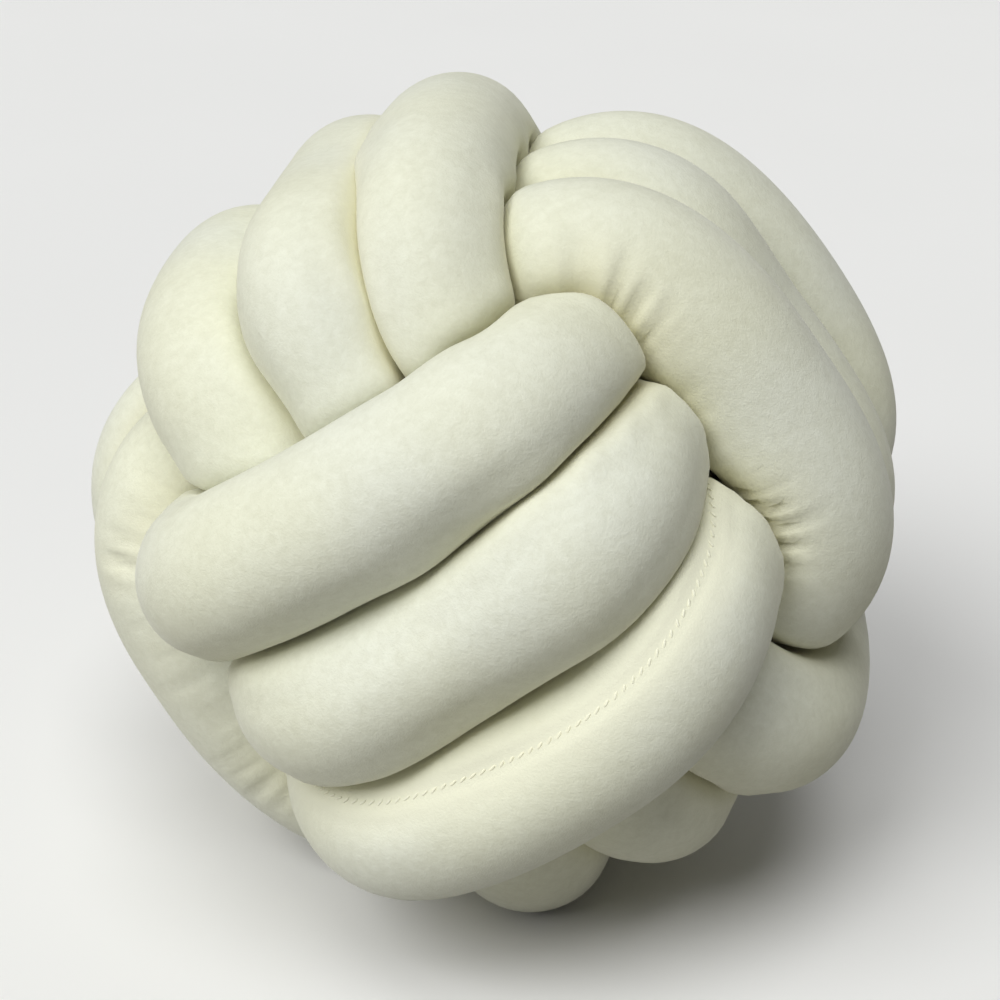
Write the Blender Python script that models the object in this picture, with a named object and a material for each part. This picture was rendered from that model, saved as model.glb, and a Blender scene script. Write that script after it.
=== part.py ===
"""Knot cushion: one long stuffed tube wound into a ball, three turns in each of three directions.

Metres, +Z up. The cushion lies on the plane z = 0 on the flat spot that its own weight presses.
The knot is worked out in its own axes, in tube widths, and then turned to the way it lies.
"""

import math

import bmesh
import bpy
import numpy as np

# Driving sizes, in metres and degrees.
TUBE_WIDTH = 0.056
PLUMP = 1.07          # width of an outer run over the tube's nominal width
SLIM = 0.94           # width of a hidden run over the tube's nominal width
GAP = 0.0030          # air kept between neighbouring runs of the tube
SIT = 0.0100          # how far the weight presses the lowest run in
TURNS = 3             # turns in each direction
SECTIONS = 490        # cross-sections along the whole tube
SIDES = 12            # points round each cross-section
OWN_RUN = 0.011       # share of the tube either way that counts as the same run
FINE = 24             # short steps of the middle line from each guide point to the next

# One turn seen in its own plane, as harmonics of the angle round it, in tube widths.
# long: half length of the turn; short: half width; across: distance from the ring's middle plane.
#        long (1, 3, 5)          short (1, 3, 5)         across (0, 2, 4, 6)
MIDDLE = ((2.088, -0.043, -0.096), (1.544, 0.242, -0.013), (0.0, 0.0, 0.0, 0.0))
EDGE = ((2.015, 0.007, -0.049), (1.297, 0.332, -0.048), (0.728, 0.259, -0.015, -0.011))

# The three rings of turns: stretch along the long way and spread across.
#        name     long   across
RINGS = (("front", 1.03, 1.00),
         ("side", 0.98, 0.93),
         ("top", 0.99, 1.02))

# How each outer turn lies, in tube widths, since a ball wound by hand isn't even.
# end is 1 or -1 for the face at that end of the ring's long axis. across, lean and bow move the
# turn over its face: evenly, as a slant and as a curve. out and tip lift it, evenly and as a slant.
# slide and reach move its ends along it. plump is its width over that of an even ring's turn.
#       ring    end  turn across  lean    bow    out    tip   slide  reach  plump
LAY = (("front",  1,   1,  -0.11,  -0.03,   0.31,   0.01,   0.02,  -0.06,   0.11,  0.88),
       ("front",  1,   0,  -0.04,   0.10,   0.28,  -0.01,   0.08,  -0.31,   0.19,  0.95),
       ("front",  1,  -1,   0.05,   0.13,   0.10,  -0.04,   0.04,  -0.03,   0.02,  0.96),
       ("side",   1,   1,  -0.01,   0.07,   0.17,  -0.09,  -0.06,  -0.07,   0.01,  0.98),
       ("side",   1,   0,   0.07,   0.02,   0.03,  -0.14,  -0.03,  -0.11,  -0.03,  0.96),
       ("side",   1,  -1,   0.06,   0.06,  -0.06,  -0.01,  -0.09,  -0.05,  -0.01,  0.96),
       ("side",  -1,   1,  -0.13,  -0.03,   0.04,  -0.13,   0.00,   0.00,   0.00,  0.97),
       ("top",    1,   1,  -0.06,   0.06,   0.07,  -0.08,  -0.04,   0.01,   0.07,  0.91),
       ("top",    1,   0,   0.26,   0.08,  -0.16,  -0.04,  -0.05,   0.01,  -0.03,  0.91),
       ("top",    1,  -1,   0.26,   0.10,  -0.17,  -0.11,  -0.14,  -0.07,  -0.01,  0.94),
       ("top",   -1,   1,   0.00,   0.03,   0.01,  -0.06,   0.00,   0.00,   0.00,  0.98),
       ("top",   -1,   0,   0.09,   0.07,  -0.05,  -0.09,   0.00,   0.00,   0.00,  0.96),
       ("top",   -1,  -1,   0.11,   0.05,  -0.01,  -0.03,   0.00,   0.00,   0.00,  0.98))

# Where the tube crosses from one ring to the next through the middle of the ball.
PASSAGE = ((0.00, 0.40, 0.38), (-0.38, 0.00, 0.40))
LEAVE = 48            # degrees past the long end where a ring's last turn is left
STEP_HALF = 45        # half the angle over which a turn moves over to the next
STEP_BULGE = 0.12     # extra spread of two runs as they move over

# Directions of the knot's axes as it lies: front, side and top rings' long axes.
FRONT = (-0.139, -0.990, 0.022)
TOP = (-0.607, 0.103, 0.788)

CLOTH = (0.78, 0.79, 0.70, 1.0)


def clear_scene():
    for item in list(bpy.data.objects):
        bpy.data.objects.remove(item, do_unlink=True)


def smooth_step(low, high, value):
    t = np.clip((value - low) / (high - low), 0.0, 1.0)
    return t * t * (3.0 - 2.0 * t)


def turn_point(angle, place, stretch, spread):
    """A point of an even ring's turn; place runs from -1 to 1 across the ring."""
    share = min(abs(place), 1.0) ** 2

    def blend(row, kind, rates):
        mid = sum(a * kind(n * angle) for a, n in zip(MIDDLE[row], rates))
        edge = sum(a * kind(n * angle) for a, n in zip(EDGE[row], rates))
        return mid + share * (edge - mid)

    across = sum(a * math.cos(n * angle) for a, n in zip(EDGE[2], (0, 2, 4, 6)))
    return np.array((blend(0, math.cos, (1, 3, 5)) * stretch,
                     blend(1, math.sin, (1, 3, 5)),
                     spread * (place * across + STEP_BULGE * math.sin(math.pi * place))))


def laid(ring, angle, place):
    """How far the turn lies from the even ring at that point, and its plumpness."""
    moved = np.zeros(3)
    plumper = 1.0
    side = math.sin(angle)
    for name, end, turn, across, lean, bow, out, tip, slide, reach_out, plump in LAY:
        if name == ring:
            share = max(0.0, 1.0 - abs(place - turn)) * smooth_step(-0.10, 0.45, end * math.cos(angle))
            moved += share * np.array((end * (out + tip * side),
                                       slide * side + reach_out * side**2,
                                       across + lean * side + bow * side**2))
            plumper += share * (plump - 1.0)
    return moved, plumper


def ring_points(ring, stretch, spread):
    """The run of one ring, from where it comes out of the middle to where it goes back in.

    Each row is a point and the plumpness there.
    """
    first = 180 - LEAVE
    last = 360 * TURNS + LEAVE
    rows = []
    for degrees in np.linspace(first, last, 27 * TURNS + 1):
        place = -1.0
        for step in range(1, TURNS):
            centre = 90 + 360 * step
            place += float(smooth_step(centre - STEP_HALF, centre + STEP_HALF, degrees))
        angle = math.radians(degrees)
        moved, plumper = laid(ring, angle, place)
        rows.append([*(turn_point(angle, place, stretch, spread) + moved), plumper])
    return rows


def guide_points():
    """Guide points of the whole closed run, in tube widths, in the knot's own axes, and plumpness."""
    points = []
    plumper = []
    for turned, (ring, stretch, spread) in enumerate(RINGS):
        run = np.array(ring_points(ring, stretch, spread) + [[*way, 1.0] for way in PASSAGE])
        points.append(np.roll(run[:, :3], turned, axis=1))
        plumper.append(run[:, 3])
    return np.vstack(points), np.concatenate(plumper)


def closed_spline(points, fineness):
    """A smooth closed curve through the points, with that many short steps from each to the next."""
    n = len(points)
    step = np.linalg.norm(np.roll(points, -1, 0) - points, axis=1)
    before = np.roll(step, 1)
    rows = np.zeros((n, n))
    k = np.arange(n)
    rows[k, k] = 2.0 * (before + step)
    rows[k, (k - 1) % n] = step
    rows[k, (k + 1) % n] = before
    ahead = (np.roll(points, -1, 0) - points) / step[:, None]
    behind = np.roll(ahead, 1, 0)
    slope = np.linalg.solve(rows, 3.0 * (step[:, None] * behind + before[:, None] * ahead))
    t = np.linspace(0.0, 1.0, fineness, endpoint=False)[None, :, None]
    here = points[:, None]
    there = np.roll(points, -1, 0)[:, None]
    leaving = (slope * step[:, None])[:, None]
    arriving = (np.roll(slope, -1, 0) * step[:, None])[:, None]
    curve = ((2 * t**3 - 3 * t**2 + 1) * here + (t**3 - 2 * t**2 + t) * leaving
             + (3 * t**2 - 2 * t**3) * there + (t**3 - t**2) * arriving)
    return curve.reshape(-1, 3)


def walk(curve, values, weight, count):
    """That many points along a closed curve, closer together where the weight is greater.

    The values kept with each point of the curve are carried to the new points.
    """
    closed = np.vstack([curve, curve[:1]])
    length = np.linalg.norm(np.diff(closed, axis=0), axis=1)
    along = np.concatenate([[0.0], np.cumsum(length * weight)])
    places = np.linspace(0.0, along[-1], count, endpoint=False)

    def carried(rows):
        rows = np.vstack([rows, rows[:1]])
        return np.stack([np.interp(places, along, column) for column in rows.T], axis=1)

    return carried(curve), carried(values)


def tangents(points):
    ahead = np.roll(points, -1, 0) - points
    ahead /= np.linalg.norm(ahead, axis=1)[:, None]
    both = ahead + np.roll(ahead, 1, 0)
    return both / np.linalg.norm(both, axis=1)[:, None]


def bends(points):
    """How sharply the curve bends at each of its evenly spaced points, per unit length."""
    step = np.linalg.norm(np.roll(points, -1, 0) - points, axis=1).mean()
    turn = np.roll(points, -1, 0) - 2 * points + np.roll(points, 1, 0)
    return np.linalg.norm(turn, axis=1) / step**2


def resting_matrix():
    """Turns the knot's own axes to the way the cushion lies."""
    front = np.array(FRONT) / np.linalg.norm(FRONT)
    top = np.array(TOP) - front * np.dot(front, TOP)
    top /= np.linalg.norm(top)
    return np.stack([front, np.cross(top, front), top], axis=1)


def between(values, fineness):
    """Values of a closed run's points, with evenly changing ones from each to the next."""
    t = np.linspace(0.0, 1.0, fineness, endpoint=False)[None]
    return (values[:, None] * (1.0 - t) + np.roll(values, -1)[:, None] * t).reshape(-1, 1)


def half_widths(points, plumper):
    """Half the tube's width at each point: full on the outside, slimmer where it is hidden."""
    outer = smooth_step(1.3, 2.0, np.linalg.norm(points, axis=1))
    return 0.5 * (SLIM + (PLUMP - SLIM) * outer) * plumper


def section_frames(points, along):
    """Two directions square to the tube at each section, carried along it without twist."""
    side = np.cross(along[0], (0.0, 0.0, 1.0))
    sides = [side / np.linalg.norm(side)]
    for k in range(1, len(points) + 1):
        here = along[k % len(points)]
        side = sides[-1] - here * np.dot(sides[-1], here)
        sides.append(side / np.linalg.norm(side))
    first, last = sides[0], sides.pop()
    across = np.cross(along[0], first)
    closing = math.atan2(np.dot(last, across), np.dot(last, first))
    sides = np.array(sides)
    others = np.cross(along, sides)
    angle = (-closing * np.arange(len(points)) / len(points))[:, None]
    return (np.cos(angle) * sides + np.sin(angle) * others,
            np.cos(angle) * others - np.sin(angle) * sides)


def reach(point, half, rays, curve, halves):
    """How far each ray goes: to the tube's own skin, or to where it meets a neighbouring run."""
    away = curve - point
    square = (away**2).sum(axis=1)
    behind = np.arange(len(curve)) - int(square.argmin())
    apart = np.minimum(behind % len(curve), -behind % len(curve))
    other_run = apart > OWN_RUN * len(curve)
    square = square + np.where(other_run, half**2 - halves**2, 0.0)
    facing = rays @ away.T
    free = np.full(facing.shape, 9.0)
    np.divide(square[None], 2.0 * facing, out=free, where=(facing > 1e-4) & (apart > 3))
    meets = free.min(axis=1) - 0.5 * GAP / TUBE_WIDTH
    return np.minimum(half, meets)


def tube_rings():
    """The corners of every cross-section, in metres, before the cushion is set down."""
    guide, plumper = guide_points()
    curve, plumper = walk(closed_spline(guide, FINE), between(plumper, FINE), 1.0, 2600)
    halves = half_widths(curve, plumper[:, 0])
    sharp = np.clip(bends(curve), 0.0, 1.9)
    weight = 0.75 + 0.35 * sharp
    points, kept = walk(curve, np.hstack([tangents(curve), halves[:, None]]), weight, SECTIONS)
    along = kept[:, :3] / np.linalg.norm(kept[:, :3], axis=1)[:, None]
    sides, others = section_frames(points, along)
    angles = np.linspace(0.0, 2.0 * math.pi, SIDES, endpoint=False)[:, None]
    rays = [np.cos(angles) * a + np.sin(angles) * b for a, b in zip(sides, others)]
    far = [reach(points[k], kept[k, 3], rays[k], curve, halves) for k in range(SECTIONS)]
    turn = resting_matrix().T * TUBE_WIDTH
    return points @ turn, np.array(rays) @ turn, np.array(far)


def set_down(centres, rays, far):
    """Lowers the knot onto z = 0 and flattens what its weight presses there."""
    skin = centres[:, None] + rays * far[..., None]
    floor = skin[..., 2].min() + SIT
    centres = centres - (0.0, 0.0, floor)
    down = rays[..., 2] < -1e-6
    room = np.where(down, centres[:, None, 2] / np.where(down, -rays[..., 2], 1.0), 9.0)
    skin = centres[:, None] + rays * np.minimum(far, room)[..., None]
    middle = 0.5 * (skin.min(axis=(0, 1)) + skin.max(axis=(0, 1)))
    skin -= (middle[0], middle[1], 0.0)
    skin[..., 2] = np.where(np.abs(skin[..., 2]) < 1e-7, 0.0, skin[..., 2])
    return skin


def skin_mesh(skin):
    """One closed skin: four-sided faces between each cross-section and the next, round and round."""
    mesh = bmesh.new()
    rows = [[mesh.verts.new(corner) for corner in ring] for ring in skin.tolist()]
    for k, row in enumerate(rows):
        following = rows[(k + 1) % len(rows)]
        for i in range(SIDES):
            j = (i + 1) % SIDES
            mesh.faces.new((row[i], row[j], following[j], following[i]))
    bmesh.ops.triangulate(mesh, faces=mesh.faces[:], quad_method="SHORT_EDGE")
    bmesh.ops.recalc_face_normals(mesh, faces=mesh.faces[:])
    made = bpy.data.meshes.new("knot_tube")
    mesh.to_mesh(made)
    mesh.free()
    made.shade_smooth()
    return made


def cloth_material():
    cloth = bpy.data.materials.new("ivory_velvet")
    cloth.use_nodes = True
    surface = cloth.node_tree.nodes["Principled BSDF"]
    surface.inputs["Base Color"].default_value = CLOTH
    surface.inputs["Roughness"].default_value = 0.92
    surface.inputs["Metallic"].default_value = 0.0
    return cloth


def make_knot_tube():
    tube = bpy.data.objects.new("knot_tube", skin_mesh(set_down(*tube_rings())))
    tube.data.materials.append(cloth_material())
    bpy.context.scene.collection.objects.link(tube)
    return tube


clear_scene()
make_knot_tube()
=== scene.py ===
"""Knot cushion: one long stuffed cloth tube wound into a ball, with its lengthwise seam.

The tube's run repeats the route of the solid in the frame, in tube widths, in the knot's own axes.
The cloth is then blown up by its filling, and gathered where the tube bends.
"""

import math

import bpy
import numpy as np
from mathutils import Matrix, Vector


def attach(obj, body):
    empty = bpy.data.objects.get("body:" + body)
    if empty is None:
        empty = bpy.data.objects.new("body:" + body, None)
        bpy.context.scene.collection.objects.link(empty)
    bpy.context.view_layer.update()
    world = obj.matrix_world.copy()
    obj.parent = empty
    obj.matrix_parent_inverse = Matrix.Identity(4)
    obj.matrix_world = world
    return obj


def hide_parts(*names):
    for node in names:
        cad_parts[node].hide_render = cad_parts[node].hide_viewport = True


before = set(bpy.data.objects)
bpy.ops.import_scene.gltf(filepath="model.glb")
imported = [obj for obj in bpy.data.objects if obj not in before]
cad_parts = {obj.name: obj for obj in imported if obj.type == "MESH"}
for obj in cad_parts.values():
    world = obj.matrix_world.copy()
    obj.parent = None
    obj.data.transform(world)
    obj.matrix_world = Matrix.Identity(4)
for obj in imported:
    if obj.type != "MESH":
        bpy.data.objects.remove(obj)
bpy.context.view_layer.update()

# Driving sizes of the tube and its winding, in metres and degrees.
TUBE_WIDTH = 0.056
PLUMP = 1.07          # width of an outer run over the tube's nominal width
SLIM = 0.94           # width of a hidden run over the tube's nominal width
SHOULDERS = (0.10, 0.00, 0.08)   # how much fuller each ring's runs are beside one that they press on
GAP = 0.0012          # air kept between neighbouring runs before the filling presses them together
SIT = 0.0100          # how far the weight presses the lowest run in
TURNS = 3             # turns in each direction
OWN_RUN = 0.011       # share of the tube either way that counts as the same run
OWN_POINTS = 3        # points either way that never stand in a ray's way
FREE = 9.0            # farther than any ray goes, in tube widths or metres

# How the route is laid out in points.
GUIDES = 27           # guide points in each turn
FINE = 24             # short steps of the middle line from each guide point to the next
ROUTE_POINTS = 2600   # evenly spaced points of the finished middle line

# One turn of a ring's middle and one at its edge, seen in their own plane, as harmonics of the
# angle round it, in tube widths: half the turn's length and half its width.
HARMONICS = (1, 3, 5)
MIDDLE = ((2.088, -0.043, -0.096), (1.544, 0.242, -0.013))
EDGE = ((2.015, 0.007, -0.049), (1.297, 0.332, -0.048))
# How far the edge's turn lies from the ring's middle plane, in the same way.
ACROSS_HARMONICS = (0, 2, 4, 6)
EDGE_ACROSS = (0.728, 0.259, -0.015, -0.011)

# The three rings of turns: stretch along the long way and spread across.
#        name     long   across
RINGS = (("front", 1.03, 1.00),
         ("side", 0.98, 0.93),
         ("top", 0.99, 1.02))

# How each outer turn lies, in tube widths, since a ball wound by hand isn't even.
# end is 1 or -1 for the face at that end of the ring's long axis. across, lean and bow move the
# turn over its face: evenly, as a slant and as a curve. out and tip lift it, evenly and as a slant.
# slide and reach move its ends along it. plump is its width over that of an even ring's turn.
#       ring    end  turn across  lean    bow    out    tip   slide  reach  plump
LAY = (("front",  1,   1,  -0.11,  -0.03,   0.31,   0.01,   0.02,  -0.06,   0.11,  0.88),
       ("front",  1,   0,  -0.04,   0.10,   0.28,  -0.01,   0.08,  -0.31,   0.19,  0.95),
       ("front",  1,  -1,   0.05,   0.13,   0.10,  -0.04,   0.04,  -0.03,   0.02,  0.96),
       ("side",   1,   1,  -0.01,   0.07,   0.17,  -0.09,  -0.06,  -0.07,   0.01,  0.98),
       ("side",   1,   0,   0.07,   0.02,   0.03,  -0.14,  -0.03,  -0.11,  -0.03,  0.96),
       ("side",   1,  -1,   0.06,   0.06,  -0.06,  -0.01,  -0.09,  -0.05,  -0.01,  0.96),
       ("side",  -1,   1,  -0.13,  -0.03,   0.04,  -0.13,   0.00,   0.00,   0.00,  0.97),
       ("top",    1,   1,  -0.06,   0.06,   0.07,  -0.08,  -0.04,   0.01,   0.07,  0.91),
       ("top",    1,   0,   0.26,   0.08,  -0.16,  -0.04,  -0.05,   0.01,  -0.03,  0.91),
       ("top",    1,  -1,   0.26,   0.10,  -0.17,  -0.11,  -0.14,  -0.07,  -0.01,  0.94),
       ("top",   -1,   1,   0.00,   0.03,   0.01,  -0.06,   0.00,   0.00,   0.00,  0.98),
       ("top",   -1,   0,   0.09,   0.07,  -0.05,  -0.09,   0.00,   0.00,   0.00,  0.96),
       ("top",   -1,  -1,   0.11,   0.05,  -0.01,  -0.03,   0.00,   0.00,   0.00,  0.98))

# Where an outer run starts and where it is whole, as cosines of the angle round its turn.
RUN_STARTS = -0.10
RUN_WHOLE = 0.45
SEAM_STARTS = -0.50   # the same for the seam that shows
SEAM_WHOLE = 0.0
# How far from the ball's middle, in tube widths, runs start to be outer ones and are wholly so:
PLUMP_FROM = (1.3, 2.0)      # for their width
SEEN_FROM = (1.30, 1.75)     # for how finely they are made

# Where the tube crosses from one ring to the next through the middle of the ball.
PASSAGE = ((0.00, 0.40, 0.38), (-0.38, 0.00, 0.40))
LEAVE = 48            # degrees past the long end where a ring's last turn is left
STEP_HALF = 45        # half the angle over which a turn moves over to the next
STEP_BULGE = 0.12     # extra spread of two runs as they move over

# Directions of the knot's axes as it lies: front, side and top rings' long axes.
FRONT = (-0.139, -0.990, 0.022)
TOP = (-0.607, 0.103, 0.788)

# The cover's cloth.
SECTIONS = 1104       # cross-sections of the cloth before it is halved once
SIDES = 22            # points round each of them
# How closely the cross-sections stand: everywhere, and more in bends, outside and at the gathers.
CLOSE_BASE = 0.35
CLOSE_BENT = 0.20
CLOSE_OUTER = 0.70
CLOSE_GATHERED = 1.7
SHARPEST = 1.9        # sharpest bend that counts there, per tube width
SKIN_OUT = 1.25       # how much farther out a run's skin is than its middle line
CROWD_OUTSIDE = 0.36  # how much closer the points stand on a section's outer side
CROWD_TO_SEAM = 0.70  # how far that turns round towards the seam where it shows
SHOULDER_ENDS = (0.45, 0.05)  # spare room, over the half width, where a shoulder starts and is whole
EASE_BENDS = 8        # over how many cross-sections the bends are evened out
EASE_OUTWARD = 9      # the same for the way outwards
EASE_DRAWN = 5        # the same for how far the filling moves a whole section
SEWN_RADIUS = 0.0300  # radius that the tube was sewn to
SEWN_LONGER = 1.10    # its length over that of the way it lies
PRESSURE = 30.0       # push of the filling on the cloth
STEPS = 12            # steps of the simulation
MOST_MOVED = 0.0030   # how far the filling may move the cloth
SEAM_RUN = ("front", 1, -1)   # ring, end and turn on which the seam shows
SEAM_DEGREES = -58    # how far round from the outermost line it lies there
SEAM_TWIST = 28       # degrees that it turns from the middle of that run to its ends
CREASE_SPREAD = 2     # how often the creases' shade is spread to the next points round the tube

# The gathers and the lumps of the filling, in metres.
GATHER_PITCH = 0.0057    # from one fold to the next where the tube only bends
GATHER_DEPTH = 0.0026    # depth of a deep gather
RIDGE = 0.18             # height of the ridges beside the folds over that depth
SPARE = 0.5              # strength of the gathers where the tube only bends
SPARE_BENDS = (0.08, 0.40)    # how much the cloth is squeezed where those start and are whole
SPARE_PATCH = (0.045, 3, 5)   # length of their patches, patches round the tube, and a seed
PATCH_EDGE = (-0.3, 0.6)      # where in the uneven pattern a patch starts and is whole
# How the folds wander: length of a bend, bends round the tube, how many folds it moves, and a seed.
FOLD_BENDS = ((0.019, 4, 0.80, 3),
              (0.008, 9, 0.35, 4))
FOLD_LENGTHS = 4096      # folds of different lengths before they repeat
FOLD_SEED = 7
FOLD_SHORTER = 0.7       # how much of the gathered place the shortest folds leave out
FOLD_ENDS = (0.10, 0.40)      # how a fold runs out, before and past its end
FILL_LUMPS = 0.0005      # how uneven the filling is
LUMP_PATCH = (0.030, 4, 11)   # length of the lumps, lumps round the tube, and a seed

# The seam, in metres.
SEAM_DEPTH = 0.0006      # how far the seam is drawn in
SEAM_WIDTH = 0.0013      # how far from the seam that reaches
WELT_HEIGHT = 0.5        # height of the low welts beside it over that depth
WELT_AWAY = 0.0030       # how far they are from it
WELT_WIDTH = 0.0015
SEAM_PITCH = 0.0035      # from one stitch to the next
SEAM_LEAST = 0.03        # how far the seam has to show where it is stitched
SEAM_GLOW_REACH = 0.011      # how far from the seam the painted warm light beside the crease reaches
STITCH_LENGTH = 0.0030
STITCH_THICK = 0.0009
STITCH_PROUD = 0.0001    # how far their middles stand out of the cloth
STITCH_SLANT = 35        # degrees from the seam's own direction
STITCH_UNEVEN = 12       # degrees that the slant differs either way
STITCH_SEED = 5

GATHERED_RING = 1        # the place in the list of rings of the one that is gathered most, the side one
GATHER_LEAST = 0.02      # strength from which a gathered place sets its own pitch
GATHER_FINER = 2.0       # how soon the cross-sections stand closest there
# Where the side ring's cloth is gathered most, in tube widths from the ball's middle, as it lies:
# along the line from one place to another, fading out over that reach. depth is over that of a deep
# gather. pitch is from one fold to the next, in metres.
#             from                   to                    reach depth pitch
GATHERED = (((0.42, -1.44, 1.96), (0.73, -1.52, 1.70), 0.24, 1.1, 0.0062),
            ((0.85, -1.50, 1.50), (1.30, -1.50, 0.80), 0.10, 0.45, 0.0055),
            ((1.42, -1.56, 0.68), (1.50, -1.53, 0.48), 0.26, 1.1, 0.0075),
            ((-1.98, -0.92, 0.28), (-2.28, -0.86, -0.28), 0.21, 1.0, 0.0050),
            ((-1.93, -1.02, -0.72), (-1.53, -1.11, -1.16), 0.24, 0.6, 0.0050),
            ((-1.45, -1.13, -1.40), (-1.30, -1.12, -1.60), 0.24, 0.7, 0.0050))

# The cloth's colours: where its pile stands up, where it is laid down, what its creamier clouds
# are multiplied by, and the painted shade, darker and warmer, in its creases.
# bump is how strongly the pile stands out.
COVER_CLOTH = {"lit": (0.83, 0.84, 0.71), "laid_down": (0.74, 0.745, 0.61),
               "creamy": (1.0, 0.99, 0.92), "crease_shade": (0.79, 0.765, 0.56), "bump": 0.32}
THREAD = {"lit": (0.93, 0.92, 0.75), "laid_down": (0.89, 0.88, 0.70),
          "creamy": (1.0, 0.99, 0.95), "crease_shade": (0.88, 0.86, 0.68), "bump": 0.25}
# Painted warm light beside the crease, laid along the seam.
SEAM_GLOW_COLOUR = (0.86, 0.85, 0.66)
GATHER_SHADE_SHARE = 0.06     # how much a gather counts beside a crease in the painted crease shade
CREASE_SHADE_FULL = 0.16       # how far the cloth is pressed in where the painted crease shade is whole
PILE_HEIGHT = 0.0010
# How fine the pile's patterns are, in waves to the metre.
NAP_CLOUDS = 14.0
NAP_BROAD = 70.0
NAP_PATCHES = 330.0
NAP_TUFTS = 1300.0

# The camera that took the photo, and the studio.
LOOK_AT = (0.00061, -0.00166, 0.13397)
CAMERA_RIGHT = (0.9984, 0.0015, 0.0563)
CAMERA_UP = (-0.0514, 0.4297, 0.9015)
CAMERA_BACK = (-0.0228, -0.9030, 0.4291)
CAMERA_AWAY = 0.7026
LENS = 71.35          # millimetres, in front of a sensor that is this wide
SENSOR = 36.0
SHIFT = (0.00452, -0.01014)
FLOOR_SIDE = 60.0
FLOOR_DOWN = 0.0002   # how far the floor lies below the cushion, so that they don't flicker
FLOOR_PALE = (0.86, 0.85, 0.82)
FLOOR_PALER = (0.89, 0.88, 0.85)
FLOOR_LIGHT = (0.40, 0.39, 0.37)   # the light that it sends back to the cushion
SKY = (0.06, 0.88)    # how bright the studio's air is: as light, and as seen
LAMP_HEIGHT = 2.0     # where the lamps' marks stand; their light comes from far away
# Soft lights far away, by the direction they come from in degrees: round from the front to the
# right, and up from the floor. spread is how wide each looks.
#          name    round  up  spread  power  colour
LIGHTS = (("key",   -45,  45,  32,  1.84, (0.985, 1.0, 1.02)),
          ("side",  -80,  10,  40,  0.42, (0.985, 1.0, 1.02)),
          ("top",    -5,  70,  32,  1.24, (0.985, 1.0, 1.02)),
          ("back", -170,  30,  60,  0.40, (0.985, 1.0, 1.02)))


def smooth_step(low, high, value):
    """0 on low's side, 1 on high's side, and a smooth rise between them."""
    t = np.clip((value - low) / (high - low), 0.0, 1.0)
    return t * t * (3.0 - 2.0 * t)


def unit(rows):
    return rows / np.linalg.norm(rows, axis=-1, keepdims=True)


# The tube's run.

def turn_point(angle, place, stretch, spread):
    """A point of an even ring's turn; place runs from -1 to 1 across the ring."""
    share = min(abs(place), 1.0) ** 2

    def blend(row, kind):
        mid = sum(a * kind(n * angle) for a, n in zip(MIDDLE[row], HARMONICS))
        edge = sum(a * kind(n * angle) for a, n in zip(EDGE[row], HARMONICS))
        return mid + share * (edge - mid)

    across = sum(a * math.cos(n * angle) for a, n in zip(EDGE_ACROSS, ACROSS_HARMONICS))
    return np.array((blend(0, math.cos) * stretch,
                     blend(1, math.sin),
                     spread * (place * across + STEP_BULGE * math.sin(math.pi * place))))


def on_run(ring, angle, place, name, end, turn, starts=RUN_STARTS, whole=RUN_WHOLE):
    """How far a point of a ring is on the named outer run: 1 on it, 0 away from it."""
    if name != ring:
        return 0.0
    near = max(0.0, 1.0 - abs(place - turn))
    return near * float(smooth_step(starts, whole, end * math.cos(angle)))


def laid(ring, angle, place):
    """How far the turn lies from the even ring at that point, and its plumpness."""
    moved = np.zeros(3)
    plumper = 1.0
    side = math.sin(angle)
    for name, end, turn, across, lean, bow, out, tip, slide, reach_out, plump in LAY:
        share = on_run(ring, angle, place, name, end, turn)
        moved += share * np.array((end * (out + tip * side),
                                   slide * side + reach_out * side**2,
                                   across + lean * side + bow * side**2))
        plumper += share * (plump - 1.0)
    return moved, plumper


def ring_rows(ring, stretch, spread):
    """The run of one ring, from where it comes out of the middle to where it goes back in.

    Each row is a point, the plumpness there, how far the seam shows there and how it is turned.
    """
    first = 180 - LEAVE
    last = 360 * TURNS + LEAVE
    rows = []
    for degrees in np.linspace(first, last, GUIDES * TURNS + 1):
        place = -1.0
        for step in range(1, TURNS):
            centre = 90 + 360 * step
            place += float(smooth_step(centre - STEP_HALF, centre + STEP_HALF, degrees))
        angle = math.radians(degrees)
        moved, plumper = laid(ring, angle, place)
        shows = on_run(ring, angle, place, *SEAM_RUN, starts=SEAM_STARTS, whole=SEAM_WHOLE)
        seam = -180.0 + (180.0 + SEAM_DEGREES + SEAM_TWIST * math.sin(angle)) * shows
        rows.append([*(turn_point(angle, place, stretch, spread) + moved), plumper, shows, seam])
    return rows + [[*way, 1.0, 0.0, -180.0] for way in PASSAGE]


def guide_rows():
    """Guide points of the whole closed run, in tube widths, in the knot's own axes, with their marks.

    The marks are those of each ring's rows and the ring's number.
    """
    points = []
    marks = []
    for turned, (ring, stretch, spread) in enumerate(RINGS):
        rows = np.array(ring_rows(ring, stretch, spread))
        points.append(np.roll(rows[:, :3], turned, axis=1))
        marks.append(np.hstack([rows[:, 3:], np.full((len(rows), 1), float(turned))]))
    return np.vstack(points), np.vstack(marks)


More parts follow.
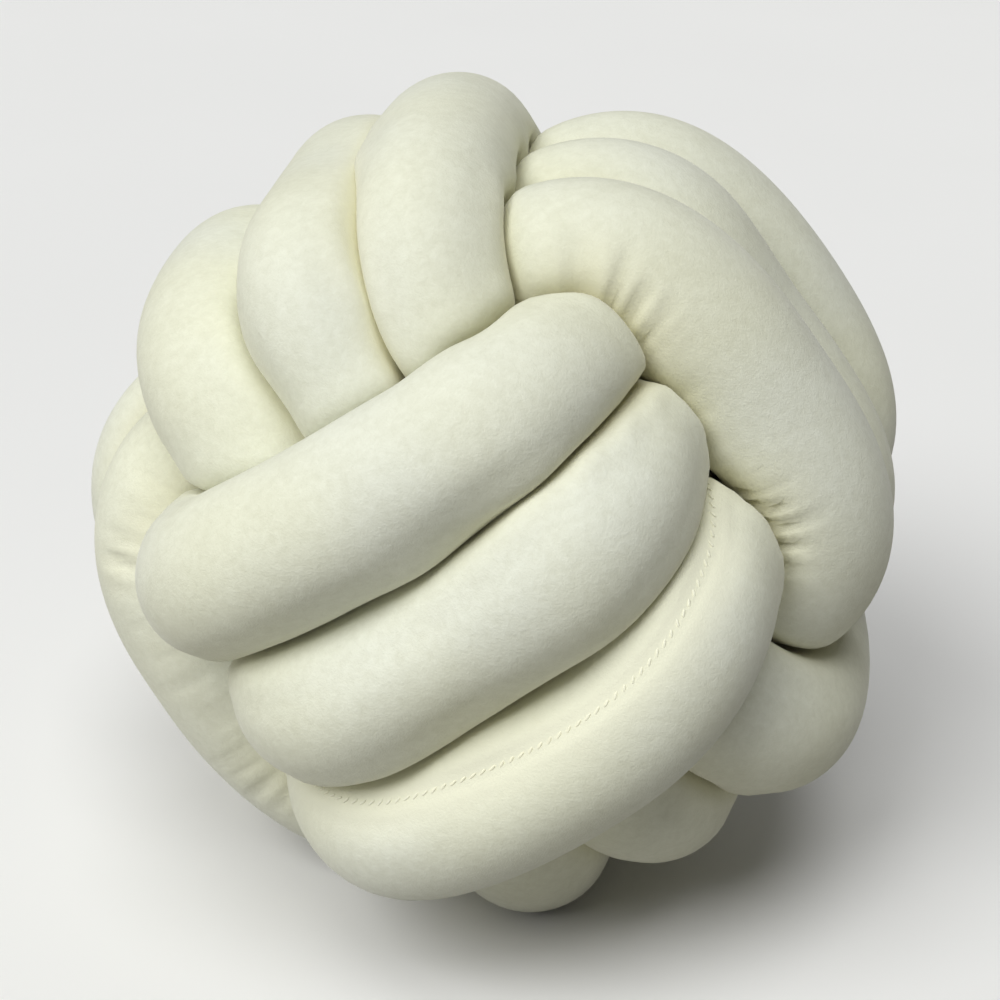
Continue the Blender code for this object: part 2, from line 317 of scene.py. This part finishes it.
def closed_spline(points, fineness):
    """A smooth closed curve through the points, with that many short steps from each to the next."""
    n = len(points)
    step = np.linalg.norm(np.roll(points, -1, 0) - points, axis=1)
    before = np.roll(step, 1)
    rows = np.zeros((n, n))
    k = np.arange(n)
    rows[k, k] = 2.0 * (before + step)
    rows[k, (k - 1) % n] = step
    rows[k, (k + 1) % n] = before
    ahead = (np.roll(points, -1, 0) - points) / step[:, None]
    behind = np.roll(ahead, 1, 0)
    slope = np.linalg.solve(rows, 3.0 * (step[:, None] * behind + before[:, None] * ahead))
    t = np.linspace(0.0, 1.0, fineness, endpoint=False)[None, :, None]
    here = points[:, None]
    there = np.roll(points, -1, 0)[:, None]
    leaving = (slope * step[:, None])[:, None]
    arriving = (np.roll(slope, -1, 0) * step[:, None])[:, None]
    curve = ((2 * t**3 - 3 * t**2 + 1) * here + (t**3 - 2 * t**2 + t) * leaving
             + (3 * t**2 - 2 * t**3) * there + (t**3 - t**2) * arriving)
    return curve.reshape(-1, 3)


def between(rows, fineness):
    """Rows of a closed run, with evenly changing ones from each to the next."""
    t = np.linspace(0.0, 1.0, fineness, endpoint=False)[None, :, None]
    return (rows[:, None] * (1.0 - t) + np.roll(rows, -1, 0)[:, None] * t).reshape(-1, rows.shape[1])


def walk(curve, values, weight, count):
    """That many points along a closed curve, closer together where the weight is greater.

    The values kept with each point of the curve are carried to the new points.
    """
    closed = np.vstack([curve, curve[:1]])
    length = np.linalg.norm(np.diff(closed, axis=0), axis=1)
    along = np.concatenate([[0.0], np.cumsum(length * weight)])
    places = np.linspace(0.0, along[-1], count, endpoint=False)

    def carried(rows):
        rows = np.vstack([rows, rows[:1]])
        return np.stack([np.interp(places, along, column) for column in rows.T], axis=1)

    return carried(curve), carried(values)


def tangents(points):
    ahead = unit(np.roll(points, -1, 0) - points)
    return unit(ahead + np.roll(ahead, 1, 0))


def bends(points):
    """Which way and how sharply the curve bends at each of its evenly spaced points."""
    step = np.linalg.norm(np.roll(points, -1, 0) - points, axis=1).mean()
    return (np.roll(points, -1, 0) - 2 * points + np.roll(points, 1, 0)) / step**2


def resting_matrix():
    """Turns the knot's own axes to the way the cushion lies."""
    front = np.array(FRONT) / np.linalg.norm(FRONT)
    top = np.array(TOP) - front * np.dot(front, TOP)
    top /= np.linalg.norm(top)
    return np.stack([front, np.cross(top, front), top], axis=1)


def half_widths(points, plumper):
    """Half the tube's width at each point: full on the outside, slimmer where it is hidden."""
    outer = smooth_step(*PLUMP_FROM, np.linalg.norm(points, axis=1))
    return 0.5 * (SLIM + (PLUMP - SLIM) * outer) * plumper


def smoothed(rows, width):
    """Rows of a closed run, each mixed with its neighbours over about that many rows."""
    offsets = np.arange(-3 * width, 3 * width + 1)
    weight = np.exp(-0.5 * (offsets / width) ** 2)
    weight /= weight.sum()
    wrapped = np.vstack([rows[-3 * width:], rows, rows[:3 * width]])
    return np.stack([np.convolve(column, weight, "valid") for column in wrapped.T], axis=1)


def on_gathered_ring(ring):
    return np.abs(ring - GATHERED_RING) < 0.5


def near_gathers(points):
    """How strongly the cloth is gathered, and from one fold to the next there.

    The points are given in tube widths from the ball's middle.
    """
    strength = np.zeros(points.shape[:-1])
    pitch = np.full(points.shape[:-1], GATHER_PITCH)
    for start, end, fade, depth, row_pitch in GATHERED:
        line = np.subtract(end, start)
        share = np.clip(((points - start) @ line) / (line @ line), 0.0, 1.0)
        away = np.linalg.norm(points - start - share[..., None] * line, axis=-1)
        here = depth * np.exp(-(away / fade) ** 2)
        pitch = np.where(here > np.maximum(strength, GATHER_LEAST), row_pitch, pitch)
        strength = np.maximum(strength, here)
    return strength, pitch


def seam_ways(points, along, seam):
    """The way from the tube's middle to its seam, turned that far from outwards."""
    outward = smoothed(points - along * (points * along).sum(axis=1)[:, None], EASE_OUTWARD)
    outward = unit(outward - along * (outward * along).sum(axis=1)[:, None])
    turned = np.radians(seam)[:, None]
    return np.cos(turned) * outward + np.sin(turned) * np.cross(along, outward)


def reach(point, half, shoulder, rays, curve, halves):
    """How far each ray goes: to the tube's own skin, or to where it meets a neighbouring run.

    Beside a neighbour that it presses on, the filling pushes the skin out to a fuller shoulder.
    """
    away = curve - point
    square = (away**2).sum(axis=1)
    behind = np.arange(len(curve)) - int(square.argmin())
    apart = np.minimum(behind % len(curve), -behind % len(curve))
    other_run = apart > OWN_RUN * len(curve)
    square = square + np.where(other_run, half**2 - halves**2, 0.0)
    facing = rays @ away.T
    free = np.full(facing.shape, FREE)
    np.divide(square[None], 2.0 * facing, out=free, where=(facing > 1e-4) & (apart > OWN_POINTS))
    meets = free.min(axis=1) - 0.5 * GAP / TUBE_WIDTH
    fuller = 1.0 + shoulder * smooth_step(*SHOULDER_ENDS, meets / half - 1.0)
    return np.minimum(half * fuller, meets)


def lay_tube():
    """The tube as it is wound, in metres, with its seam on the first point of each section."""
    guide, marks = guide_rows()
    curve, marks = walk(closed_spline(guide, FINE), between(marks, FINE), 1.0, ROUTE_POINTS)
    halves = half_widths(curve, marks[:, 0])
    bending = bends(curve)
    sharp = np.clip(np.linalg.norm(bending, axis=1), 0.0, SHARPEST)
    outer = smooth_step(*SEEN_FROM, np.linalg.norm(curve, axis=1))
    turn = resting_matrix().T
    fine = np.clip(GATHER_FINER * near_gathers(curve @ turn * SKIN_OUT)[0], 0.0, 1.0)
    fine = fine * on_gathered_ring(marks[:, 3])
    close = CLOSE_BASE + CLOSE_BENT * sharp + CLOSE_OUTER * outer + CLOSE_GATHERED * fine
    # Columns: which way the tube runs, its bend, its half width, how far the seam shows and is
    # turned there, and its ring's number.
    kept = np.hstack([tangents(curve), smoothed(bending, EASE_BENDS), halves[:, None], marks[:, 1:]])
    points, kept = walk(curve, kept, close, SECTIONS)
    along = unit(kept[:, :3])
    own, shows, seam, ring = kept[:, 6:].T
    first = seam_ways(points, along, seam)
    second = np.cross(along, first)
    evenly = np.linspace(0.0, 2.0 * math.pi, SIDES, endpoint=False)[None]
    angles = evenly + (CROWD_OUTSIDE - CROWD_TO_SEAM * shows)[:, None] * np.sin(evenly)
    rays = np.cos(angles)[..., None] * first[:, None] + np.sin(angles)[..., None] * second[:, None]
    shoulder = np.interp(ring, range(len(RINGS)), SHOULDERS)
    far = np.array([reach(points[k], own[k], shoulder[k], rays[k], curve, halves)
                    for k in range(SECTIONS)])
    middle = points @ turn * TUBE_WIDTH
    step = np.linalg.norm(np.roll(middle, -1, 0) - middle, axis=1)
    # How far each point is pressed in is also the mask of the cloth's painted crease shade.
    return {"middle": middle, "rays": rays @ turn, "far": far * TUBE_WIDTH, "angles": angles,
            "crease_shade_mask": np.maximum(1.0 - far / own[:, None], 0.0), "shows": shows, "ring": ring,
            "bending": kept[:, 3:6] @ turn / TUBE_WIDTH,
            "along": np.concatenate([[0.0], np.cumsum(step)])}


def set_down(tube):
    """Lowers the tube onto z = 0, flattens what its weight presses there and centres it."""
    rays, far = tube["rays"], tube["far"]
    skin = tube["middle"][:, None] + rays * far[..., None]
    drop = np.array((0.0, 0.0, skin[..., 2].min() + SIT))
    tube["middle"] = tube["middle"] - drop
    down = rays[..., 2] < -1e-6
    room = np.where(down, tube["middle"][:, None, 2] / np.where(down, -rays[..., 2], 1.0), FREE)
    skin = tube["middle"][:, None] + rays * np.minimum(far, room)[..., None]
    centre = 0.5 * (skin.min(axis=(0, 1)) + skin.max(axis=(0, 1))) * (1.0, 1.0, 0.0)
    tube["middle"] = tube["middle"] - centre
    tube["skin"] = skin - centre
    tube["ball"] = -drop - centre
    return tube


# The cloth.

def band_faces(rows, columns):
    """Four-sided faces of a skin that closes on itself both ways, pointing outwards."""
    corner = np.arange(rows * columns).reshape(rows, columns)
    ahead = np.roll(corner, -1, axis=0)
    return np.stack([corner, np.roll(corner, -1, axis=1), np.roll(ahead, -1, axis=1), ahead],
                    axis=2).reshape(-1, 4)


def skin_mesh(name, skin):
    rows, columns = skin.shape[:2]
    mesh = bpy.data.meshes.new(name)
    mesh.from_pydata(skin.reshape(-1, 3).tolist(), [], band_faces(rows, columns).tolist())
    mesh.update()
    return mesh


def as_sewn(tube):
    """The empty tube as it was sewn, laid out as one wide ring: the size that its cloth keeps."""
    round_ring = 2.0 * math.pi * tube["along"][:-1, None] / tube["along"][-1]
    ring = SEWN_LONGER * tube["along"][-1] / (2.0 * math.pi)
    radius = ring + SEWN_RADIUS * np.cos(tube["angles"])
    return np.stack([radius * np.cos(round_ring), radius * np.sin(round_ring),
                     -SEWN_RADIUS * np.sin(tube["angles"])], axis=2)


def eased(grid, axis):
    """A closed grid with each value mixed with the two beside it."""
    return (np.roll(grid, 1, axis) + 2.0 * grid + np.roll(grid, -1, axis)) / 4.0


def stuffed(tube):
    """The skin as the filling presses it out against its neighbours, each run kept where it was laid."""
    skin = tube["skin"]
    cover = bpy.data.objects.new("cover", skin_mesh("cover", skin))
    bpy.context.scene.collection.objects.link(cover)
    cover.shape_key_add(name="wound")
    sewn = cover.shape_key_add(name="sewn")
    sewn.data.foreach_set("co", as_sewn(tube).reshape(-1))
    sewn.value = 0.0
    cloth = cover.modifiers.new("filling", "CLOTH")
    cloth.point_cache.frame_start = 1
    cloth.point_cache.frame_end = STEPS
    settings = cloth.settings
    settings.rest_shape_key = sewn
    settings.quality = 5
    settings.mass = 0.002
    settings.tension_stiffness = 20.0
    settings.compression_stiffness = 4.0
    settings.shear_stiffness = 4.0
    settings.bending_stiffness = 0.006
    settings.tension_damping = 5.0
    settings.compression_damping = 5.0
    settings.shear_damping = 3.0
    settings.air_damping = 3.0
    settings.use_pressure = True
    settings.uniform_pressure_force = PRESSURE
    settings.effector_weights.gravity = 0.0
    touching = cloth.collision_settings
    touching.use_collision = False
    touching.use_self_collision = True
    touching.self_distance_min = 0.0008
    touching.collision_quality = 2
    for step in range(1, STEPS + 1):
        bpy.context.scene.frame_set(step)
    blown = cover.evaluated_get(bpy.context.evaluated_depsgraph_get())
    corners = np.empty(skin.size)
    blown.data.vertices.foreach_get("co", corners)
    bpy.context.scene.frame_set(1)
    bpy.data.objects.remove(cover, do_unlink=True)
    moved = corners.reshape(skin.shape) - skin
    length = np.linalg.norm(moved, axis=2, keepdims=True)
    moved = moved * np.minimum(1.0, MOST_MOVED / np.maximum(length, 1e-9))
    for axis in (0, 0, 1):
        moved = eased(moved, axis)
    drawn = smoothed(moved.mean(axis=1), EASE_DRAWN)
    return skin + moved - drawn[:, None]


def halved(grid, axis):
    """Every step of a closed grid halved, as smooth subdivision does."""
    before, after = np.roll(grid, 1, axis), np.roll(grid, -1, axis)
    kept, new = (before + 6.0 * grid + after) / 8.0, (grid + after) / 2.0
    shape = list(grid.shape)
    shape[axis] *= 2
    return np.stack([kept, new], axis=axis + 1).reshape(shape)


def halved_run(values, whole):
    """The same for places along the run or round it, which grow by a whole turn as they close."""
    after = np.roll(values, -1, axis=-1)
    after[..., -1] += whole
    return np.stack([values, 0.5 * (values + after)], axis=-1).reshape(*values.shape[:-1], -1)


def normals(skin):
    ahead = np.roll(skin, -1, axis=0) - np.roll(skin, 1, axis=0)
    round_it = np.roll(skin, -1, axis=1) - np.roll(skin, 1, axis=1)
    return unit(np.cross(round_it, ahead))


def uneven(u, v, cells, seed):
    """Soft random hills from -1 to 1 over two places; v closes after that many cells."""
    spots = np.random.default_rng(seed).uniform(-1.0, 1.0, (1024, cells))
    u0, v0 = np.floor(u).astype(int), np.floor(v).astype(int)
    s, t = smooth_step(0.0, 1.0, u - u0), smooth_step(0.0, 1.0, v - v0)
    near = spots[u0 % 1024, v0 % cells] * (1 - t) + spots[u0 % 1024, (v0 + 1) % cells] * t
    far = spots[(u0 + 1) % 1024, v0 % cells] * (1 - t) + spots[(u0 + 1) % 1024, (v0 + 1) % cells] * t
    return near * (1 - s) + far * s


def gathers(place, angle, squeezed, near, pitch):
    """Height of the gathers, near the chosen places and in tight bends, and how strong they are.

    The folds run round the tube. Each wanders a little and ends somewhere else.
    """
    turn = angle / (2.0 * math.pi)
    wander = sum(much * uneven(place / length, turn * cells, cells, seed)
                 for length, cells, much, seed in FOLD_BENDS)
    fold = place / pitch + wander
    number = np.floor(fold).astype(int)
    beside = np.abs(2.0 * (fold - number) - 1.0)
    lengths = np.random.default_rng(FOLD_SEED).uniform(0.0, 1.0, FOLD_LENGTHS)
    end = FOLD_SHORTER * lengths[number % FOLD_LENGTHS]
    length, cells, seed = SPARE_PATCH
    patch = smooth_step(*PATCH_EDGE, uneven(place / length, turn * cells, cells, seed))
    spare = SPARE * smooth_step(*SPARE_BENDS, squeezed) * patch
    amount = np.maximum(spare, near)
    before, past = FOLD_ENDS
    furrow = amount * smooth_step(end - before, end + past, amount) * (1.0 - beside) ** 2
    return GATHER_DEPTH * (RIDGE * amount * beside**2 - furrow), amount


def seam_relief(beside):
    """Height of the cloth at that distance from the seam, which is drawn in between two low welts."""
    drawn_in = SEAM_DEPTH * np.exp(-(beside / SEAM_WIDTH) ** 2)
    welt = WELT_HEIGHT * SEAM_DEPTH * np.exp(-((beside - WELT_AWAY) / WELT_WIDTH) ** 2)
    return welt - drawn_in


def finished_skin(tube):
    """The fine skin with its gathers, lumps and seam, and what the cloth's finish needs to know, among it
    the masks of its painted crease shade and of the painted warm light beside its seam.
    """
    skin = halved(halved(stuffed(tube), 0), 1)
    middle = halved(tube["middle"], 0)[:, None]
    bending = halved(tube["bending"], 0)[:, None]
    # The mask of the painted crease shade, spread round the tube.
    crease_shade_mask = tube["crease_shade_mask"]
    for _ in range(CREASE_SPREAD):
        crease_shade_mask = eased(crease_shade_mask, 1)
    crease_shade_mask = halved(halved(crease_shade_mask, 0), 1)
    shows = halved(tube["shows"], 0)[:, None]
    place = halved_run(tube["along"][:-1], tube["along"][-1])[:, None]
    angle = halved_run(halved(tube["angles"], 0), 2.0 * math.pi)
    squeezed = ((skin - middle) * bending).sum(axis=2)
    on_side = on_gathered_ring(halved(tube["ring"], 0)[:, None])
    near, pitch = near_gathers((skin - tube["ball"]) / TUBE_WIDTH)
    height, gathered = gathers(place, angle, squeezed, near * on_side, pitch)
    length, cells, seed = LUMP_PATCH
    height = height + FILL_LUMPS * uneven(place / length, angle * cells / (2.0 * math.pi), cells, seed)
    beside = SEWN_RADIUS * np.minimum(angle, 2.0 * math.pi - angle)
    height = height + seam_relief(beside)
    skin = skin + normals(skin) * height[..., None]
    skin[..., 2] = np.maximum(skin[..., 2], 0.0)
    # Painted warm light beside the crease, strongest along the seam where it shows.
    seam_glow_mask = shows * np.exp(-(beside / SEAM_GLOW_REACH) ** 2)
    return {"skin": skin, "crease_shade_mask": crease_shade_mask, "gathered": gathered, "seam_glow_mask": seam_glow_mask, "shows": shows}


def make_cover(fine, cloth):
    """The stuffed cover as one mesh, marked where its cloth is gathered, where it gets painted crease
    shade and where it gets painted warm light beside its seam.
    """
    mesh = skin_mesh("knot_cover", fine["skin"])
    for name in ("crease_shade_mask", "gathered", "seam_glow_mask"):
        mark = mesh.attributes.new(name, "FLOAT", "POINT")
        mark.data.foreach_set("value", np.ascontiguousarray(fine[name], dtype=np.float32).reshape(-1))
    mesh.shade_smooth()
    mesh.materials.append(cloth)
    cover = bpy.data.objects.new("knot_cover", mesh)
    bpy.context.scene.collection.objects.link(cover)
    return cover


# The seam's stitches.

def seam_line(fine):
    """The seam where it shows, as a line of points with the way out of the cloth at each."""
    on = np.flatnonzero(fine["shows"][:, 0] > SEAM_LEAST)
    out = normals(fine["skin"])[on, 0]
    mesh = bpy.data.meshes.new("seam_line")
    links = [(k, k + 1) for k in range(len(on) - 1) if on[k + 1] == on[k] + 1]
    mesh.from_pydata((fine["skin"][on, 0] + STITCH_PROUD * out).tolist(), links, [])
    ways = mesh.attributes.new("out", "FLOAT_VECTOR", "POINT")
    ways.data.foreach_set("vector", out.reshape(-1).astype(np.float32))
    line = bpy.data.objects.new("seam_line", mesh)
    bpy.context.scene.collection.objects.link(line)
    return line


def node(tree, kind, inputs=None, **choices):
    """A node with its choices made and its inputs set or linked, by name or number."""
    made = tree.nodes.new(kind)
    for name, choice in choices.items():
        setattr(made, name, choice)
    for name, value in (inputs or {}).items():
        if isinstance(value, bpy.types.NodeSocket):
            tree.links.new(value, made.inputs[name])
        else:
            made.inputs[name].default_value = value
    return made


def stitch_tree():
    """Puts one slanted stitch at every step along a line."""
    tree = bpy.data.node_groups.new("stitches_along_line", "GeometryNodeTree")
    face = tree.interface
    face.new_socket("Geometry", in_out="OUTPUT", socket_type="NodeSocketGeometry")
    for name, kind in (("Line", "Geometry"), ("Pitch", "Float"), ("Length", "Float"),
                       ("Thickness", "Float"), ("Slant", "Float"), ("Uneven", "Float"),
                       ("Thread", "Material")):
        face.new_socket(name, in_out="INPUT", socket_type="NodeSocket" + kind)
    given = node(tree, "NodeGroupInput").outputs
    curve = node(tree, "GeometryNodeMeshToCurve", {"Mesh": given["Line"]})
    steps = node(tree, "GeometryNodeResampleCurve", {"Curve": curve.outputs[0], "Length": given["Pitch"]},
                 mode="LENGTH")
    bead = node(tree, "GeometryNodeMeshUVSphere", {"Segments": 8, "Rings": 6, "Radius": 0.5})
    size = node(tree, "ShaderNodeCombineXYZ", {"X": given["Length"], "Y": given["Thickness"],
                                               "Z": given["Thickness"]})
    shaped = node(tree, "GeometryNodeTransform", {"Geometry": bead.outputs["Mesh"],
                                                  "Scale": size.outputs[0]})
    out = node(tree, "GeometryNodeInputNamedAttribute", {"Name": "out"}, data_type="FLOAT_VECTOR")
    way = node(tree, "GeometryNodeInputTangent")
    up = node(tree, "FunctionNodeAlignRotationToVector", {"Vector": out.outputs["Attribute"]}, axis="Z")
    ahead = node(tree, "FunctionNodeAlignRotationToVector",
                 {"Rotation": up.outputs[0], "Vector": way.outputs[0]}, axis="X", pivot_axis="Z")
    least = node(tree, "ShaderNodeMath", {0: given["Slant"], 1: given["Uneven"]}, operation="SUBTRACT")
    most = node(tree, "ShaderNodeMath", {0: given["Slant"], 1: given["Uneven"]}, operation="ADD")
    any_slant = node(tree, "FunctionNodeRandomValue",
                     {2: least.outputs[0], 3: most.outputs[0], 8: STITCH_SEED}, data_type="FLOAT")
    turn = node(tree, "ShaderNodeCombineXYZ", {"Z": any_slant.outputs[1]})
    slanted = node(tree, "FunctionNodeRotateRotation", {0: ahead.outputs[0], 1: turn.outputs[0]},
                   rotation_space="LOCAL")
    placed = node(tree, "GeometryNodeInstanceOnPoints",
                  {"Points": steps.outputs[0], "Instance": shaped.outputs[0],
                   "Rotation": slanted.outputs[0]})
    real = node(tree, "GeometryNodeRealizeInstances", {"Geometry": placed.outputs[0]})
    dressed = node(tree, "GeometryNodeSetMaterial", {"Geometry": real.outputs[0],
                                                     "Material": given["Thread"]})
    node(tree, "NodeGroupOutput", {"Geometry": dressed.outputs[0]})
    return tree


def make_stitches(fine, thread):
    line = seam_line(fine)
    tree = stitch_tree()
    sewing = line.modifiers.new("stitches", "NODES")
    sewing.node_group = tree
    chosen = {"Pitch": SEAM_PITCH, "Length": STITCH_LENGTH, "Thickness": STITCH_THICK,
              "Slant": math.radians(STITCH_SLANT), "Uneven": math.radians(STITCH_UNEVEN),
              "Thread": thread}
    for item in tree.interface.items_tree:
        if item.in_out == "INPUT" and item.name in chosen:
            sewing[item.identifier] = chosen[item.name]
    bpy.context.view_layer.update()
    sewn = line.evaluated_get(bpy.context.evaluated_depsgraph_get())
    mesh = bpy.data.meshes.new_from_object(sewn)
    mesh.name = "seam_stitches"
    mesh.shade_smooth()
    bpy.data.objects.remove(line, do_unlink=True)
    stitches = bpy.data.objects.new("seam_stitches", mesh)
    bpy.context.scene.collection.objects.link(stitches)
    return stitches


# Materials.

def soft_nap():
    """Short brushed pile: where it lies lighter or darker, how warm it looks and how high it stands."""
    tree = bpy.data.node_groups.new("soft_nap", "ShaderNodeTree")
    face = tree.interface
    face.new_socket("Place", in_out="INPUT", socket_type="NodeSocketVector")
    for name in ("Mottle", "Tint", "Height"):
        face.new_socket(name, in_out="OUTPUT", socket_type="NodeSocketFloat")
    place = node(tree, "NodeGroupInput").outputs["Place"]
    cloud = node(tree, "ShaderNodeTexNoise", {"Vector": place, "Scale": NAP_CLOUDS, "Detail": 1.0})
    broad = node(tree, "ShaderNodeTexNoise", {"Vector": place, "Scale": NAP_BROAD, "Detail": 3.0,
                                              "Roughness": 0.6, "Distortion": 0.3})
    patch = node(tree, "ShaderNodeTexNoise", {"Vector": place, "Scale": NAP_PATCHES, "Detail": 3.0,
                                              "Roughness": 0.65, "Distortion": 0.4})
    tuft = node(tree, "ShaderNodeTexNoise", {"Vector": place, "Scale": NAP_TUFTS, "Detail": 2.0,
                                             "Roughness": 0.7})
    mixed = node(tree, "ShaderNodeMix", {0: 0.65, 2: broad.outputs[0], 3: patch.outputs[0]})
    grained = node(tree, "ShaderNodeMix", {0: 0.20, 2: mixed.outputs[0], 3: tuft.outputs[0]})
    spread = node(tree, "ShaderNodeMapRange", {"Value": grained.outputs[0], "From Min": 0.36,
                                               "From Max": 0.64})
    tint = node(tree, "ShaderNodeMapRange", {"Value": cloud.outputs[0], "From Min": 0.35,
                                             "From Max": 0.65})
    standing = node(tree, "ShaderNodeMix", {0: 0.45, 2: patch.outputs[0], 3: tuft.outputs[0]})
    node(tree, "NodeGroupOutput", {"Mottle": spread.outputs[0], "Tint": tint.outputs[0],
                                   "Height": standing.outputs[0]})
    return tree


def velvet(name, nap, lit, laid_down, creamy, crease_shade, bump):
    """Ivory cloth with a short pile that catches light at its edges, with painted shade, darker and
    warmer, where it is squeezed in its creases and gathers, and painted warm light beside its seam.
    """
    material = bpy.data.materials.new(name)
    material.use_nodes = True
    tree = material.node_tree
    where = node(tree, "ShaderNodeTexCoord").outputs["Object"]
    pile = node(tree, "ShaderNodeGroup", {"Place": where}, node_tree=nap)
    # Painted crease shade: a darker, warmer colour mixed in where the cloth is pressed in, and a little
    # at its gathers.
    crease_shade_mask = node(tree, "ShaderNodeAttribute", attribute_name="crease_shade_mask").outputs["Fac"]
    gathered = node(tree, "ShaderNodeAttribute", attribute_name="gathered").outputs["Fac"]
    squeezed = node(tree, "ShaderNodeMath", {0: gathered, 1: GATHER_SHADE_SHARE, 2: crease_shade_mask},
                    operation="MULTIPLY_ADD")
    deep = node(tree, "ShaderNodeMapRange", {"Value": squeezed.outputs[0], "From Max": CREASE_SHADE_FULL})
    base = node(tree, "ShaderNodeMix", {0: pile.outputs["Mottle"], 6: (*laid_down, 1.0), 7: (*lit, 1.0)},
                data_type="RGBA")
    dyed = node(tree, "ShaderNodeMix", {0: pile.outputs["Tint"], 6: base.outputs[2],
                                        7: (*creamy, 1.0)}, data_type="RGBA", blend_type="MULTIPLY")
    colour = node(tree, "ShaderNodeMix", {0: deep.outputs[0], 6: dyed.outputs[2], 7: (*crease_shade, 1.0)},
                  data_type="RGBA")
    # Painted warm light beside the crease, mixed in along the seam.
    seam_glow_mask = node(tree, "ShaderNodeAttribute", attribute_name="seam_glow_mask").outputs["Fac"]
    seam_glow_mixed = node(tree, "ShaderNodeMix", {0: seam_glow_mask, 6: colour.outputs[2],
                                           7: (*SEAM_GLOW_COLOUR, 1.0)}, data_type="RGBA")
    relief = node(tree, "ShaderNodeBump", {"Height": pile.outputs["Height"], "Strength": bump,
                                           "Distance": PILE_HEIGHT})
    shader = tree.nodes["Principled BSDF"]
    tree.links.new(seam_glow_mixed.outputs[2], shader.inputs["Base Color"])
    tree.links.new(relief.outputs[0], shader.inputs["Normal"])
    shader.inputs["Roughness"].default_value = 0.92
    shader.inputs["Specular IOR Level"].default_value = 0.15
    shader.inputs["Sheen Weight"].default_value = 0.35
    shader.inputs["Sheen Roughness"].default_value = 0.45
    shader.inputs["Sheen Tint"].default_value = (1.0, 0.98, 0.90, 1.0)
    return material


def pale_floor():
    """A pale, even floor that sends less light back to the cushion than it seems to."""
    material = bpy.data.materials.new("pale_floor")
    material.use_nodes = True
    tree = material.node_tree
    where = node(tree, "ShaderNodeTexCoord").outputs["Object"]
    grain = node(tree, "ShaderNodeTexNoise", {"Vector": where, "Scale": 3.0, "Detail": 2.0})
    pale = node(tree, "ShaderNodeMix", {0: grain.outputs[0], 6: (*FLOOR_PALE, 1.0),
                                        7: (*FLOOR_PALER, 1.0)}, data_type="RGBA")
    seen = node(tree, "ShaderNodeLightPath").outputs["Is Camera Ray"]
    colour = node(tree, "ShaderNodeMix", {0: seen, 6: (*FLOOR_LIGHT, 1.0), 7: pale.outputs[2]},
                  data_type="RGBA")
    shader = tree.nodes["Principled BSDF"]
    tree.links.new(colour.outputs[2], shader.inputs["Base Color"])
    shader.inputs["Roughness"].default_value = 0.95
    return material


# The floor, the light and the camera.

def make_floor():
    mesh = bpy.data.meshes.new("floor")
    half = FLOOR_SIDE / 2.0
    mesh.from_pydata([(-half, -half, 0.0), (half, -half, 0.0), (half, half, 0.0), (-half, half, 0.0)],
                     [], [(0, 1, 2, 3)])
    mesh.materials.append(pale_floor())
    floor = bpy.data.objects.new("floor", mesh)
    floor.location.z = -FLOOR_DOWN
    bpy.context.scene.collection.objects.link(floor)
    return floor


def make_light(name, round_it, up, spread, power, colour):
    lamp = bpy.data.lights.new(name, "SUN")
    lamp.angle = math.radians(spread)
    lamp.energy = power
    lamp.color = colour
    light = bpy.data.objects.new(name, lamp)
    light.rotation_euler = (math.radians(90 - up), 0.0, math.radians(round_it))
    light.location = (0.0, 0.0, LAMP_HEIGHT)
    bpy.context.scene.collection.objects.link(light)


def light_world():
    """The studio's air: it gives little light, and looks pale behind the cushion."""
    world = bpy.data.worlds.new("studio")
    world.use_nodes = True
    seen = node(world.node_tree, "ShaderNodeLightPath").outputs["Is Camera Ray"]
    bright = node(world.node_tree, "ShaderNodeMapRange",
                  {"Value": seen, "To Min": SKY[0], "To Max": SKY[1]})
    sky = world.node_tree.nodes["Background"]
    sky.inputs["Color"].default_value = (1.0, 1.0, 1.0, 1.0)
    world.node_tree.links.new(bright.outputs[0], sky.inputs["Strength"])
    bpy.context.scene.world = world


def make_camera():
    """The photo's view of the cushion: from the front, a little above, turned slightly."""
    view = bpy.data.cameras.new("photo_view")
    view.sensor_width = SENSOR
    view.lens = LENS
    view.shift_x, view.shift_y = SHIFT
    view.dof.use_dof = False
    camera = bpy.data.objects.new("photo_view", view)
    right, up, back = (Vector(way) for way in (CAMERA_RIGHT, CAMERA_UP, CAMERA_BACK))
    turn = Matrix((right, up, back)).transposed().to_4x4()
    camera.matrix_world = Matrix.Translation(Vector(LOOK_AT) + CAMERA_AWAY * back) @ turn
    bpy.context.scene.collection.objects.link(camera)
    bpy.context.scene.camera = camera


fine = finished_skin(set_down(lay_tube()))
nap = soft_nap()
cover = make_cover(fine, velvet("ivory_velvet", nap, **COVER_CLOTH))
stitches = make_stitches(fine, velvet("ivory_thread", nap, **THREAD))
for piece in (cover, stitches):
    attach(piece, "root")
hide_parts("knot_tube")

make_floor()
light_world()
for name, round_it, up, spread, power, colour in LIGHTS:
    make_light(name, round_it, up, spread, power, colour)
make_camera()
bpy.context.scene.view_settings.view_transform = "Standard"
